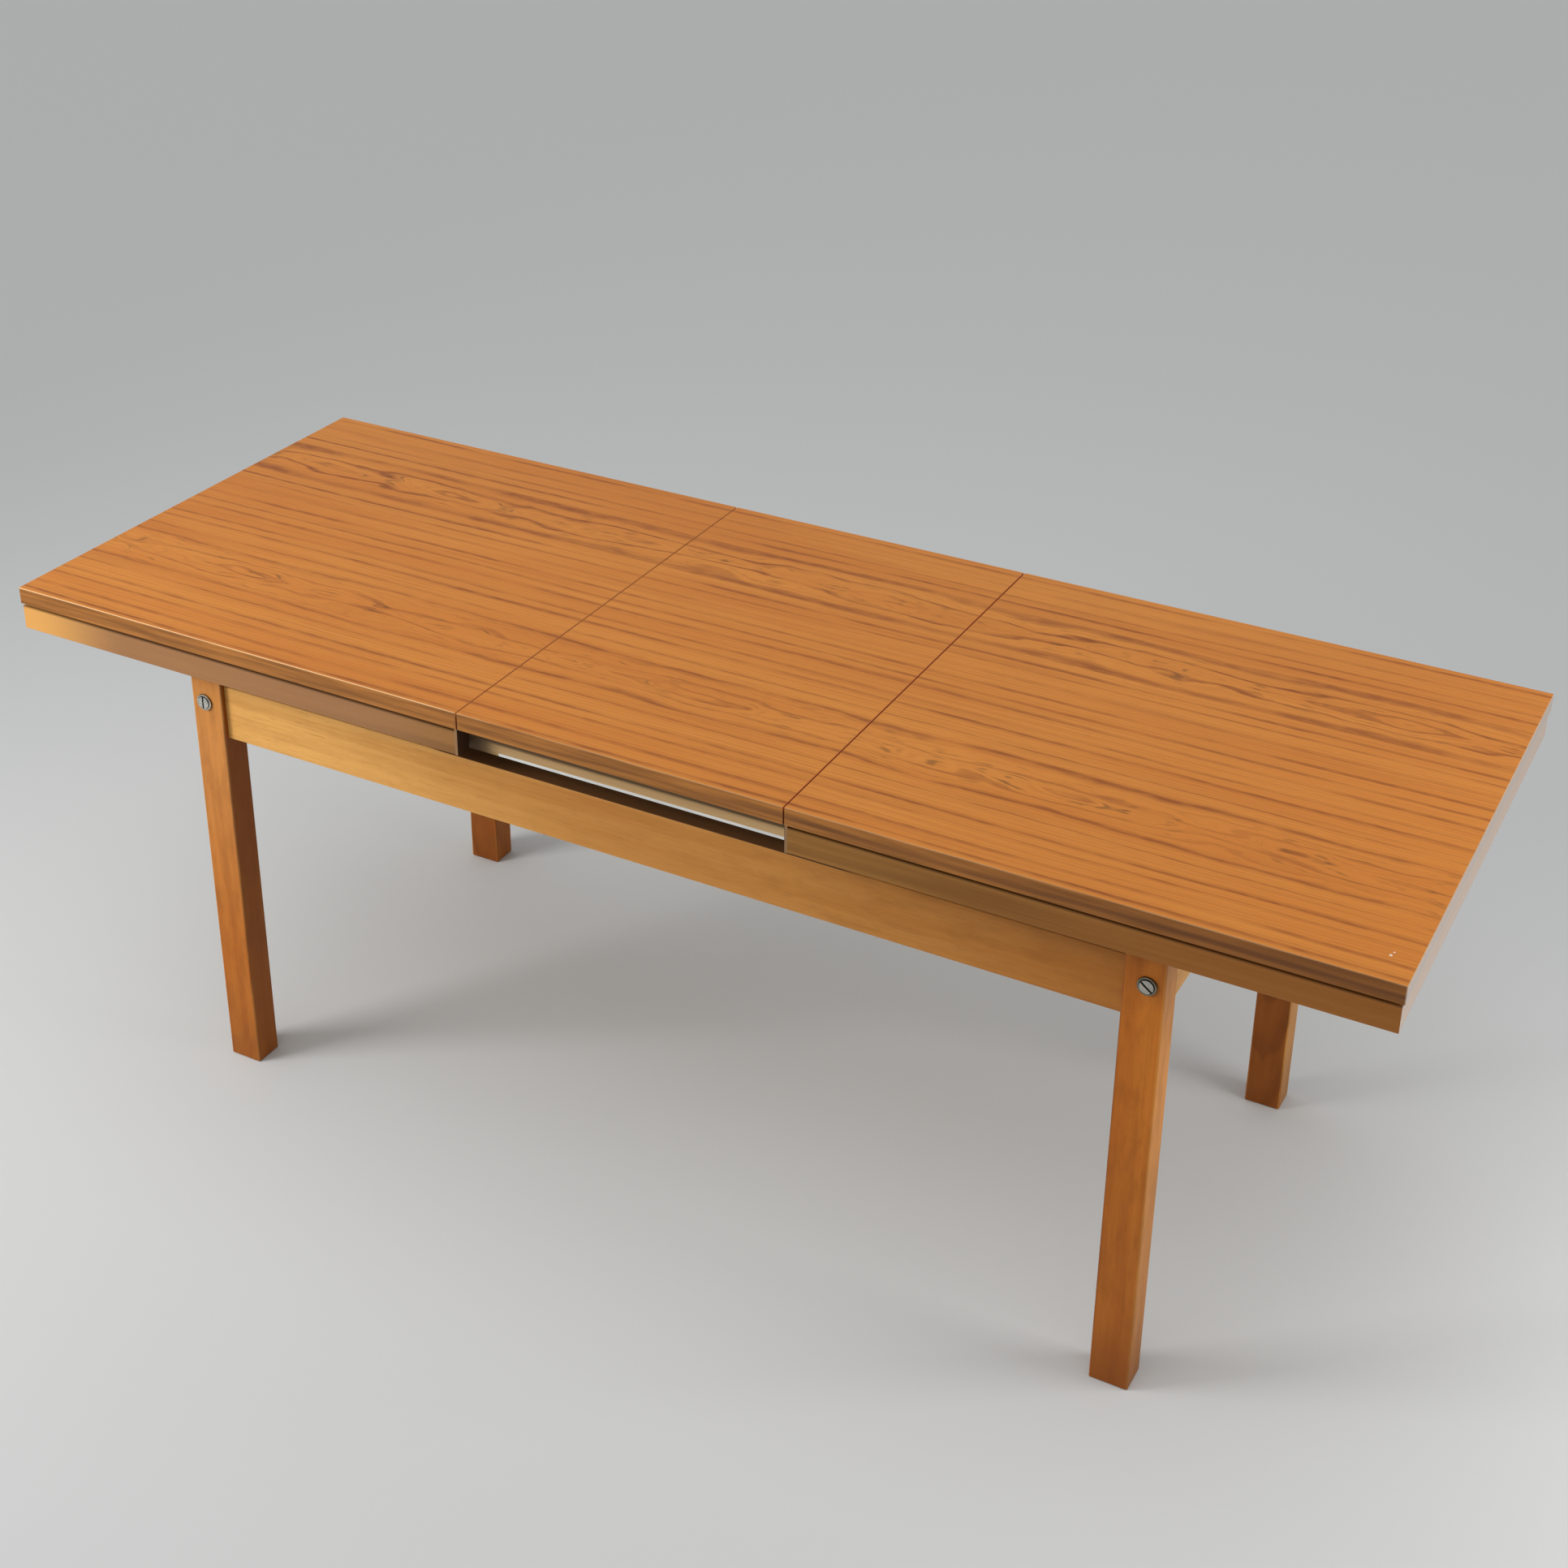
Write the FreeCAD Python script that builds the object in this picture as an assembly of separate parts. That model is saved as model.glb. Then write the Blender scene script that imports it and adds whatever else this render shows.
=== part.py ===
import FreeCAD, Part
import os

# Extending coffee table, opened out with its leaf laid in. Two end tops slide on runners over a
# bolted base, and the leaf rests on the runners between them. Millimetres, +Z up, the origin on
# the floor under the middle of the tops, +X along the length, the front at -Y. The two end tops
# are the same piece, one of them turned half a turn about Z.

os.makedirs("parts", exist_ok=True)
Vec = FreeCAD.Vector
X_AXIS = Vec(1, 0, 0)
Y_AXIS = Vec(0, 1, 0)
Z_AXIS = Vec(0, 0, 1)
TOLERANCE = 0.001

# Tops and leaf
table_height = 536.0
top_length = 550.0
top_width = 543.0
leaf_length = 348.0
seam_gap = 1.0
panel_thickness = 18.0
panel_arris = 0.8

# Frieze boards glued under the end tops
frieze_height = 29.0
frieze_thickness = 18.0
frieze_side_inset = 1.0
frieze_end_inset = 2.0
frieze_arris = 1.0
shadow_groove_height = 3.0
shadow_groove_depth = 5.0
lipping_thickness = 3.0
glue_block_face = 14.0
glue_block_length = 60.0
end_glue_block_count = 2
end_glue_block_margin = 20.0

# Legs, aprons and rails; the leg inset is measured from the edges of the closed tops
leg_width = 38.0
leg_depth = 32.0
leg_inset = 25.0
leg_head_gap = 3.0
leg_arris = 1.5
foot_chamfer = 1.0
apron_setback = 6.0
apron_thickness = 22.0
apron_height = 60.0
apron_arris = 1.0
slot_height = 22.0
end_rail_setback = 6.0
end_rail_thickness = 20.0
cross_rail_thickness = 20.0
cross_rail_height = 40.0
cross_rail_from_seam = 33.0

# Runners under the tops, their aluminium soles and their stops
runner_thickness = 20.0
runner_height = 58.0
runner_leg_gap = 3.0
runner_end_gap = 10.0
runner_relief = 0.3
slide_gap = 0.2
strip_thickness = 4.0
strip_stop_gap = 5.0
open_travel = 30.0
stop_length = 23.0
stop_height = 20.0
stop_margin = 10.0

# Slide bar of each top behind its frieze, on the head of a leg, with a sole of its own
slide_bar_thickness = 18.0
slide_bar_frieze_gap = 4.0
slide_sole_thickness = 3.0
slide_sole_margin = 61.0

# Guide rail between the two runners of a side, with a tongue into the groove of each
lane_gap = 10.0
guide_side_gap = 0.5
guide_web_height = 20.0
guide_head_height = 7.0
guide_tongue = 4.0
groove_gap = 0.4
guide_end_margin = 2.0

# Leaf cleats
cleat_width = 25.0
cleat_thickness = 18.0
cleat_edge_margin = 71.5
cleat_end_gap = 1.0

# Connector bolts, their cup washers and barrel nuts
bolt_diameter = 8.0
bolt_length = 80.0
bolt_above_rail_foot = 39.5
bolt_head_diameter = 13.0
bolt_head_height = 2.0
bolt_head_crown = 0.4
bolt_slot_width = 2.0
bolt_slot_depth = 1.3
bolt_slot_turns = {"front_left": 90.0, "front_right": -39.0, "rear_left": 25.0, "rear_right": -70.0}
cup_diameter = 18.0
cup_height = 2.4
cup_floor = 1.0
cup_rim = 2.1
barrel_nut_diameter = 12.0
barrel_nut_length = 14.0
barrel_nut_depth = 35.0

# Dowels and screws
apron_dowel_diameter = 10.0
apron_dowel_in_leg = 15.0
apron_dowel_in_apron = 20.0
apron_dowel_margin = 15.0
rail_dowel_diameter = 8.0
rail_dowel_in_side = 12.0
rail_dowel_in_rail = 20.0
rail_dowel_margin = 14.0
screw_diameter = 4.0
screw_head_ratio = 2.0
screw_tip_ratio = 1.2
screw_slot_ratio = 0.25
runner_screw_length = 45.0
runner_screw_bite = 12.0
runner_screw_count = 4
runner_screw_margin = 40.0
slide_bar_screw_length = 35.0
strip_screw_diameter = 3.0
strip_screw_length = 14.0
reach_screw_count = 3
reach_screw_margin = 30.0
stop_screw_length = 35.0
guide_screw_length = 45.0
guide_screw_bolt_wall = 1.5
cleat_screw_length = 30.0
cleat_screw_count = 3
cleat_screw_margin = 40.0

# Clearances round fasteners
shank_gap = 0.1
bolt_gap = 0.3
hole_end_gap = 0.5

# Heights
panel_foot = table_height - panel_thickness
frieze_foot = panel_foot - frieze_height
leg_top = frieze_foot - leg_head_gap
cleat_foot = panel_foot - cleat_thickness
apron_top = frieze_foot - slot_height
rail_foot = apron_top - apron_height
runner_foot = panel_foot - runner_height
rail_top = runner_foot - slide_gap
stop_foot = runner_foot - stop_height
runner_screw_head = panel_foot + runner_screw_bite - runner_screw_length
slide_bar_foot = leg_top + slide_gap
slide_bar_screw_head = panel_foot + runner_screw_bite - slide_bar_screw_length
bolt_z = rail_foot + bolt_above_rail_foot
guide_neck = rail_top + guide_web_height
guide_top = guide_neck + guide_head_height
bolt_hole_top = bolt_z + bolt_diameter / 2 + bolt_gap
guide_end_screw_length = guide_top - bolt_hole_top - guide_screw_bolt_wall - hole_end_gap

# Places along X, from the middle
seam_x = leaf_length / 2 + seam_gap
panel_end = seam_x + top_length
frieze_end = panel_end - frieze_end_inset
leg_outer_x = top_length - leg_inset
leg_inner_x = leg_outer_x - leg_width
end_rail_face = leg_outer_x - end_rail_setback
end_rail_middle = end_rail_face - end_rail_thickness / 2
end_rail_back = end_rail_face - end_rail_thickness
cross_rail_face = seam_x - cross_rail_from_seam
cross_rail_middle = cross_rail_face - cross_rail_thickness / 2
cross_rail_back = cross_rail_face - cross_rail_thickness
cleat_middle = leaf_length / 2 - cleat_edge_margin - cleat_width / 2
runner_outer_x = frieze_end - frieze_thickness - runner_end_gap
stop_face = -(cross_rail_face + open_travel)
stop_back = stop_face - stop_length
stop_middle = (stop_face + stop_back) / 2
runner_inner_x = stop_back - stop_margin
strip_inner_x = stop_face + strip_stop_gap
slide_sole_inner_x = runner_inner_x + slide_sole_margin

# Places along Y, from the middle
half_width = top_width / 2
frieze_side = half_width - frieze_side_inset
leg_outer_y = half_width - leg_inset
leg_inner_y = leg_outer_y - leg_depth
apron_face = leg_outer_y - apron_setback
apron_back = apron_face - apron_thickness
outer_lane = leg_inner_y - runner_leg_gap
guide_middle = outer_lane - runner_thickness - lane_gap / 2
inner_lane = outer_lane - runner_thickness - lane_gap
cleat_end = inner_lane - runner_thickness - cleat_end_gap
slide_bar_face = frieze_side - frieze_thickness - slide_bar_frieze_gap
slide_bar_back = slide_bar_face - slide_bar_thickness
slide_bar_middle = (slide_bar_face + slide_bar_back) / 2

SIDES = {"left": -1, "right": 1}
ROWS = {"front": -1, "rear": 1}

# Lanes of the right-hand top's two runners, and the side of each
LANES = ((outer_lane, -1), (inner_lane, 1))


def slab(x0, x1, y0, y1, z0, z1):
    """Box between two corners, given in any order."""
    low = Vec(min(x0, x1), min(y0, y1), min(z0, z1))
    return Part.makeBox(abs(x1 - x0), abs(y1 - y0), abs(z1 - z0), low)


def rod(diameter, start, direction, length):
    """Round bar from a point along a direction."""
    return Part.makeCylinder(diameter / 2, length, start, direction)


def prism(corners, z0, z1):
    """Upright prism over a polygon of (x, y) corners."""
    points = [Vec(x, y, z0) for x, y in corners]
    return Part.Face(Part.makePolygon(points + points[:1])).extrude(Vec(0, 0, z1 - z0))


def turned(points):
    """Solid of revolution about Z from (radius, height) corners. A corner of four values is the end
    of an arc: a point that the arc passes, then the corner itself."""
    edges = []
    start = Vec(points[0][0], 0, points[0][1])
    for point in points[1:] + points[:1]:
        end = Vec(point[-2], 0, point[-1])
        if len(point) == 4:
            edges.append(Part.Arc(start, Vec(point[0], 0, point[1]), end).toShape())
        else:
            edges.append(Part.makeLine(start, end))
        start = end
    return Part.Face(Part.Wire(edges)).revolve(Vec(0, 0, 0), Z_AXIS, 360)


def edges_along(shape, axis):
    """Straight edges of a shape that run along an axis."""
    picked = []
    for edge in shape.Edges:
        run = edge.Vertexes[-1].Point - edge.Vertexes[0].Point
        if run.Length > TOLERANCE and run.cross(axis).Length < TOLERANCE * run.Length:
            picked.append(edge)
    return picked


def edges_at(shape, height):
    """Edges of a shape that lie in one level plane."""
    picked = []
    for edge in shape.Edges:
        box = edge.BoundBox
        if max(abs(box.ZMin - height), abs(box.ZMax - height)) < TOLERANCE:
            picked.append(edge)
    return picked


def half_turn(shape):
    """The same shape turned half a turn about the table's upright middle axis."""
    copy = shape.copy()
    copy.rotate(Vec(0, 0, 0), Z_AXIS, 180)
    return copy


def spread(first, last, count):
    """Evenly spaced places from first to last."""
    if count == 1:
        return [(first + last) / 2]
    return [first + (last - first) * step / (count - 1) for step in range(count)]


def save(name, solids):
    """Writes the solids of one node."""
    if len(solids) == 1:
        solids[0].exportStep(f"parts/{name}.step")
    else:
        Part.makeCompound(solids).exportStep(f"parts/{name}.step")


def cut_all(shape, cutters):
    """A shape less each of the cutters."""
    for cutter in cutters:
        shape = shape.cut(cutter)
    return shape


def wood_screw(diameter, length, x, y, z, up):
    """Slotted countersunk screw, its head at a point and its tip above (up 1) or below (up -1)."""
    radius = diameter / 2
    head = radius * screw_head_ratio
    sink = head - radius
    tip = diameter * screw_tip_ratio
    half_slot = radius * screw_slot_ratio
    screw = turned([(0, 0), (head, 0), (radius, sink), (radius, length - tip), (0, length)])
    slot = slab(-head, head, -half_slot, half_slot, 0, sink / 2)
    return placed_screw(screw.cut(slot), x, y, z, up)


def screw_hole(diameter, length, x, y, z, up):
    """Room for a countersunk screw, a little wider than it and open at the head."""
    radius = diameter / 2 + shank_gap
    sink = diameter / 2 * screw_head_ratio - diameter / 2
    depth = length + hole_end_gap
    hole = turned([(0, 0), (sink + radius, 0), (radius, sink), (radius, depth), (0, depth)])
    return placed_screw(hole, x, y, z, up)


def placed_screw(shape, x, y, z, up):
    """A screw's shape, made head down at the origin, set at its place."""
    if up < 0:
        shape.rotate(Vec(0, 0, 0), X_AXIS, 180)
    shape.translate(Vec(x, y, z))
    return shape


def panel(x0, x1):
    """Veneered panel with its upper and upright edges eased."""
    board = slab(x0, x1, -half_width, half_width, panel_foot, table_height)
    return board.makeFillet(panel_arris, edges_along(board, Z_AXIS) + edges_at(board, table_height))


# Frieze of an end top

def mitre(sy, keep_side):
    """Wedge outside the 45 degree cut of a frieze corner, on one of its two boards."""
    inner_x = frieze_end - frieze_thickness
    inner_y = sy * (frieze_side - frieze_thickness)
    outer = (frieze_end, sy * frieze_side)
    if keep_side:
        third = (frieze_end, inner_y)
    else:
        third = (inner_x, sy * frieze_side)
    return prism([outer, (inner_x, inner_y), third], frieze_foot, panel_foot)


def frieze_side_board(sy):
    """Side board of the right-hand frieze, grooved along its top and mitred at the table's end."""
    inner_y = sy * (frieze_side - frieze_thickness)
    groove_y = sy * (frieze_side - shadow_groove_depth)
    start = seam_x + lipping_thickness
    board = slab(start, frieze_end, sy * frieze_side, inner_y, frieze_foot, panel_foot)
    foot = [edge for edge in edges_at(board, frieze_foot)
            if abs(edge.CenterOfMass.y - sy * frieze_side) < TOLERANCE]
    board = board.makeFillet(frieze_arris, foot)
    groove_foot = panel_foot - shadow_groove_height
    groove = slab(start, frieze_end, sy * frieze_side, groove_y, groove_foot, panel_foot)
    return cut_all(board, [groove, mitre(sy, True)])


def frieze_end_board():
    """End board of the right-hand frieze, grooved along its top and mitred at both corners."""
    inner_x = frieze_end - frieze_thickness
    groove_x = frieze_end - shadow_groove_depth
    board = slab(inner_x, frieze_end, -frieze_side, frieze_side, frieze_foot, panel_foot)
    foot = [edge for edge in edges_at(board, frieze_foot)
            if abs(edge.CenterOfMass.x - frieze_end) < TOLERANCE]
    board = board.makeFillet(frieze_arris, foot)
    groove_foot = panel_foot - shadow_groove_height
    groove = slab(groove_x, frieze_end, -frieze_side, frieze_side, groove_foot, panel_foot)
    return cut_all(board, [groove, mitre(-1, False), mitre(1, False)])


def frieze_lipping(sy):
    """Thin facing on the square end of a side board, at the seam."""
    inner_y = sy * (frieze_side - frieze_thickness)
    return slab(seam_x, seam_x + lipping_thickness, sy * frieze_side, inner_y, frieze_foot, panel_foot)


def glue_blocks():
    """Triangular blocks in the corner between the panel and the end board of the frieze."""
    blocks = []
    inner_x = frieze_end - frieze_thickness
    half = glue_block_length / 2
    end_reach = inner_lane - runner_thickness - end_glue_block_margin - half
    for y in spread(-end_reach, end_reach, end_glue_block_count):
        corner = Vec(inner_x, y - half, panel_foot)
        blocks.append(corner_block(corner, Vec(-glue_block_face, 0, 0), Y_AXIS))
    return blocks


def corner_block(corner, along, axis):
    """One triangular block, from its square corner under the panel."""
    down = Vec(0, 0, -glue_block_face)
    face = Part.Face(Part.makePolygon([corner, corner + along, corner + down, corner]))
    return face.extrude(axis * glue_block_length)


# Runners of the right-hand top: the outer one in the front lane, the inner one in the rear lane

def runner_screw_places():
    """Places along X of the screws that hold a runner to its panel."""
    return spread(seam_x + runner_screw_margin, runner_outer_x - runner_screw_margin, runner_screw_count)


def strip_screw_places(start):
    """Places along X of the screws that hold a sole strip, clear of the screws above it."""
    held = runner_screw_places()
    between = [(a + b) / 2 for a, b in zip(held, held[1:])]
    first = start + reach_screw_margin
    last = seam_x - reach_screw_margin
    return spread(first, last, reach_screw_count) + between


def runner(sy, lane, groove_face):
    """Runner with a sole rebate, a side groove for the guide and its reach eased below the tops."""
    y0 = sy * lane
    y1 = sy * (lane - runner_thickness)
    middle = (y0 + y1) / 2
    bar = slab(runner_inner_x, runner_outer_x, y0, y1, runner_foot, panel_foot)
    rebate = slab(strip_inner_x, runner_outer_x, y0, y1, runner_foot, runner_foot + strip_thickness)
    relief = slab(runner_inner_x, seam_x, y0, y1, panel_foot - runner_relief, panel_foot)
    depth = guide_tongue + groove_gap
    groove_back = groove_face + (depth if groove_face < middle else -depth)
    groove = slab(runner_inner_x, runner_outer_x, groove_face, groove_back,
                  guide_neck - groove_gap, guide_top + groove_gap)
    cutters = [rebate, relief, groove]
    for x in runner_screw_places():
        well = screw_diameter * screw_head_ratio + 2 * shank_gap
        cutters.append(rod(well, Vec(x, middle, runner_foot), Z_AXIS, runner_screw_head - runner_foot))
        cutters.append(screw_hole(screw_diameter, runner_screw_length, x, middle, runner_screw_head, 1))
    for x in strip_screw_places(strip_inner_x):
        cutters.append(screw_hole(strip_screw_diameter, strip_screw_length, x, middle, runner_foot, 1))
    cutters.append(screw_hole(screw_diameter, stop_screw_length, stop_middle, middle, stop_foot, 1))
    return cut_all(bar, cutters)


def runner_strip(sy, lane):
    """Aluminium sole let into the foot of a runner."""
    y0 = sy * lane
    y1 = sy * (lane - runner_thickness)
    strip = slab(strip_inner_x, runner_outer_x, y0, y1, runner_foot, runner_foot + strip_thickness)
    middle = (y0 + y1) / 2
    holes = [screw_hole(strip_screw_diameter, strip_screw_length, x, middle, runner_foot, 1)
             for x in strip_screw_places(strip_inner_x)]
    return cut_all(strip, holes)


def runner_stop(sy, lane):
    """Block under a runner's inner end that meets the far cross rail when the top is pulled out."""
    y0 = sy * lane
    y1 = sy * (lane - runner_thickness)
    block = slab(stop_back, stop_face, y0, y1, stop_foot, runner_foot)
    middle = (y0 + y1) / 2
    return block.cut(screw_hole(screw_diameter, stop_screw_length, stop_middle, middle, stop_foot, 1))


def slide_bar():
    """Bar behind the front frieze that slides on the head of a leg, with a sole rebate and its reach
    eased below the tops."""
    y0 = -slide_bar_face
    y1 = -slide_bar_back
    sole_top = slide_bar_foot + slide_sole_thickness
    bar = slab(runner_inner_x, runner_outer_x, y0, y1, slide_bar_foot, panel_foot)
    rebate = slab(slide_sole_inner_x, runner_outer_x, y0, y1, slide_bar_foot, sole_top)
    relief = slab(runner_inner_x, seam_x, y0, y1, panel_foot - runner_relief, panel_foot)
    cutters = [rebate, relief] + slide_bar_holes() + slide_sole_holes()
    for x in runner_screw_places():
        well = screw_diameter * screw_head_ratio + 2 * shank_gap
        start = Vec(x, -slide_bar_middle, slide_bar_foot)
        cutters.append(rod(well, start, Z_AXIS, slide_bar_screw_head - slide_bar_foot))
    return cut_all(bar, cutters)


def slide_bar_holes():
    """Holes of the screws from the slide bar up into the panel."""
    return [screw_hole(screw_diameter, slide_bar_screw_length, x, -slide_bar_middle, slide_bar_screw_head, 1)
            for x in runner_screw_places()]


def slide_sole_holes():
    """Holes of the screws that hold the slide bar's sole."""
    return [screw_hole(strip_screw_diameter, strip_screw_length, x, -slide_bar_middle, slide_bar_foot, 1)
            for x in strip_screw_places(slide_sole_inner_x)]


def slide_sole():
    """Aluminium sole let into the foot of the slide bar."""
    y0 = -slide_bar_face
    y1 = -slide_bar_back
    sole_top = slide_bar_foot + slide_sole_thickness
    strip = slab(slide_sole_inner_x, runner_outer_x, y0, y1, slide_bar_foot, sole_top)
    return cut_all(strip, slide_sole_holes())


def slide_bar_screws():
    """Screws of the slide bar."""
    return [wood_screw(screw_diameter, slide_bar_screw_length, x, -slide_bar_middle, slide_bar_screw_head, 1)
            for x in runner_screw_places()]


def sole_screws():
    """Screws of all three soles."""
    screws = []
    for lane, sy in LANES:
        y = sy * (lane - runner_thickness / 2)
        for x in strip_screw_places(strip_inner_x):
            screws.append(wood_screw(strip_screw_diameter, strip_screw_length, x, y, runner_foot, 1))
    for x in strip_screw_places(slide_sole_inner_x):
        screws.append(wood_screw(strip_screw_diameter, strip_screw_length, x, -slide_bar_middle,
                                 slide_bar_foot, 1))
    return screws


def end_top_panel():
    """Right-hand panel with the blind holes of the runner and slide bar screws."""
    holes = slide_bar_holes()
    for lane, sy in LANES:
        y = sy * (lane - runner_thickness / 2)
        for x in runner_screw_places():
            holes.append(screw_hole(screw_diameter, runner_screw_length, x, y, runner_screw_head, 1))
    return cut_all(panel(seam_x, panel_end), holes)


def end_top(near, far):
    """Every piece of the right-hand end top, by name, near being the row of its outer runner."""
    middles = [sy * (lane - runner_thickness / 2) for lane, sy in LANES]
    return {
        "panel": [end_top_panel()],
        f"frieze_{near}": [frieze_side_board(-1)],
        f"frieze_{far}": [frieze_side_board(1)],
        "frieze_end": [frieze_end_board()],
        "frieze_lippings": [frieze_lipping(sy) for sy in ROWS.values()],
        "frieze_glue_blocks": glue_blocks(),
        f"runner_{near}": [runner(-1, outer_lane, -(outer_lane - runner_thickness))],
        f"runner_{far}": [runner(1, inner_lane, inner_lane)],
        f"runner_sole_{near}": [runner_strip(-1, outer_lane)],
        f"runner_sole_{far}": [runner_strip(1, inner_lane)],
        "runner_stops": [runner_stop(sy, lane) for lane, sy in LANES],
        "runner_screws": [wood_screw(screw_diameter, runner_screw_length, x, y, runner_screw_head, 1)
                          for y in middles for x in runner_screw_places()],
        "slide_bar": [slide_bar()],
        "slide_sole": [slide_sole()],
        "slide_bar_screws": slide_bar_screws(),
        "sole_screws": sole_screws(),
        "stop_screws": [wood_screw(screw_diameter, stop_screw_length, stop_middle, y, stop_foot, 1)
                        for y in middles],
    }


# Leaf

def cleat_screw_places():
    """Places along Y of the screws of a leaf cleat."""
    return spread(-cleat_end + cleat_screw_margin, cleat_end - cleat_screw_margin, cleat_screw_count)


def cleat_places():
    """Middles of the two cleats along X."""
    return [-cleat_middle, cleat_middle]


def cleat_holes(x):
    """Screw holes of one cleat, from its lower face into the leaf."""
    return [screw_hole(screw_diameter, cleat_screw_length, x, y, cleat_foot, 1)
            for y in cleat_screw_places()]


def leaf_panel():
    """The loose middle leaf."""
    board = panel(-leaf_length / 2, leaf_length / 2)
    for x in cleat_places():
        board = cut_all(board, cleat_holes(x))
    return board


def leaf_cleat(x):
    """Batten under the leaf that keeps it flat and in line between the runners."""
    half = cleat_width / 2
    bar = slab(x - half, x + half, -cleat_end, cleat_end, cleat_foot, panel_foot)
    return cut_all(bar, cleat_holes(x))


# Base

def apron_dowel_heights():
    """Heights of the dowels between an apron and a leg."""
    return [rail_foot + apron_dowel_margin, apron_top - apron_dowel_margin]


def cross_rail_dowel_heights():
    """Heights of the dowels between a cross rail and an apron."""
    return [rail_top - cross_rail_height + rail_dowel_margin, rail_top - rail_dowel_margin]


def apron_dowels(sx, sy, gap):
    """Dowels from an apron's end into its leg, or their holes where a gap is given."""
    middle = sy * (apron_face - apron_thickness / 2)
    depth = apron_dowel_in_leg + apron_dowel_in_apron
    start = sx * (leg_inner_x - apron_dowel_in_apron)
    return [rod(apron_dowel_diameter + 2 * gap, Vec(start, middle, z), X_AXIS * sx, depth)
            for z in apron_dowel_heights()]


def end_rail_dowels(sx, sy, gap):
    """Dowel from an end rail into its leg, below the bolt, or its hole where a gap is given."""
    depth = rail_dowel_in_side + rail_dowel_in_rail
    inner_end = leg_inner_y - rail_dowel_in_rail
    start = Vec(sx * end_rail_middle, sy * inner_end, rail_foot + rail_dowel_margin)
    return [rod(rail_dowel_diameter + 2 * gap, start, Y_AXIS * sy, depth)]


def cross_rail_dowels(sx, sy, gap):
    """Dowels from a cross rail into an apron, or their holes where a gap is given."""
    depth = rail_dowel_in_side + rail_dowel_in_rail
    start_y = sy * (apron_back - rail_dowel_in_rail)
    return [rod(rail_dowel_diameter + 2 * gap, Vec(sx * cross_rail_middle, start_y, z), Y_AXIS * sy, depth)
            for z in cross_rail_dowel_heights()]


def bolt_hole(sx, sy):
    """Clearance hole for a connector bolt through a leg and into its end rail."""
    start = Vec(sx * end_rail_middle, sy * leg_outer_y, bolt_z)
    return rod(bolt_diameter + 2 * bolt_gap, start, Y_AXIS * -sy, bolt_length + hole_end_gap)


def barrel_nut_room(sx, sy, gap):
    """Barrel nut's place in an end rail, drilled from the rail's inner face."""
    outer_end = end_rail_middle + barrel_nut_length / 2
    start = Vec(sx * outer_end, sy * (leg_inner_y - barrel_nut_depth), bolt_z)
    if gap > 0:
        length = outer_end - end_rail_back
    else:
        length = barrel_nut_length
    return rod(barrel_nut_diameter + 2 * gap, start, X_AXIS * -sx, length)


def leg(sx, sy):
    """Square-cut leg with eased edges, bored for its bolt and dowels."""
    post = slab(sx * leg_outer_x, sx * leg_inner_x, sy * leg_outer_y, sy * leg_inner_y, 0, leg_top)
    post = post.makeFillet(leg_arris, edges_along(post, Z_AXIS))
    post = post.makeChamfer(foot_chamfer, edges_at(post, 0))
    holes = apron_dowels(sx, sy, shank_gap) + end_rail_dowels(sx, sy, shank_gap) + [bolt_hole(sx, sy)]
    return cut_all(post, holes)


def apron(sy):
    """Long rail between the legs of one side."""
    board = slab(-leg_inner_x, leg_inner_x, sy * apron_face, sy * apron_back, rail_foot, apron_top)
    board = board.makeFillet(apron_arris, edges_along(board, X_AXIS))
    for sx in SIDES.values():
        board = cut_all(board, apron_dowels(sx, sy, shank_gap) + cross_rail_dowels(sx, sy, shank_gap))
    return board


def end_rail(sx):
    """Short rail between the legs of one end, which the runners slide on."""
    board = slab(sx * end_rail_face, sx * end_rail_back, -leg_inner_y, leg_inner_y, rail_foot, rail_top)
    foot = [edge for edge in edges_along(board, Y_AXIS) if edge.CenterOfMass.z < rail_foot + TOLERANCE]
    board = board.makeFillet(apron_arris, foot)
    for sy in ROWS.values():
        holes = end_rail_dowels(sx, sy, shank_gap) + [bolt_hole(sx, sy), barrel_nut_room(sx, sy, shank_gap)]
        board = cut_all(board, holes + [guide_screw_hole(sx * end_rail_middle, sy, guide_end_screw_length)])
    return board


def cross_rail(sx):
    """Inner rail between the aprons, which carries the runners and stops them."""
    foot = rail_top - cross_rail_height
    board = slab(sx * cross_rail_face, sx * cross_rail_back, -apron_back, apron_back, foot, rail_top)
    for sy in ROWS.values():
        guide_hole = guide_screw_hole(sx * cross_rail_middle, sy, guide_screw_length)
        board = cut_all(board, cross_rail_dowels(sx, sy, shank_gap) + [guide_hole])
    return board


def guide_screw_places():
    """Place along X and length of each screw from a guide rail into the rails under it. The screws
    into the end rails stop short of the connector bolts."""
    long_places = [(sx * cross_rail_middle, guide_screw_length) for sx in SIDES.values()]
    short_places = [(sx * end_rail_middle, guide_end_screw_length) for sx in SIDES.values()]
    return long_places + short_places


def guide_screw_hole(x, sy, length):
    """Hole of one guide rail screw."""
    return screw_hole(screw_diameter, length, x, sy * guide_middle, guide_top, -1)


def guide_rail(sy):
    """Tee-section rail on the end and cross rails, its head keeping both runners down."""
    reach = end_rail_face - guide_end_margin
    half_web = lane_gap / 2 - guide_side_gap
    half_head = lane_gap / 2 + guide_tongue
    middle = sy * guide_middle
    web = slab(-reach, reach, middle - half_web, middle + half_web, rail_top, guide_neck)
    head = slab(-reach, reach, middle - half_head, middle + half_head, guide_neck, guide_top)
    tee = web.fuse(head).removeSplitter()
    return cut_all(tee, [guide_screw_hole(x, sy, length) for x, length in guide_screw_places()])


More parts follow.
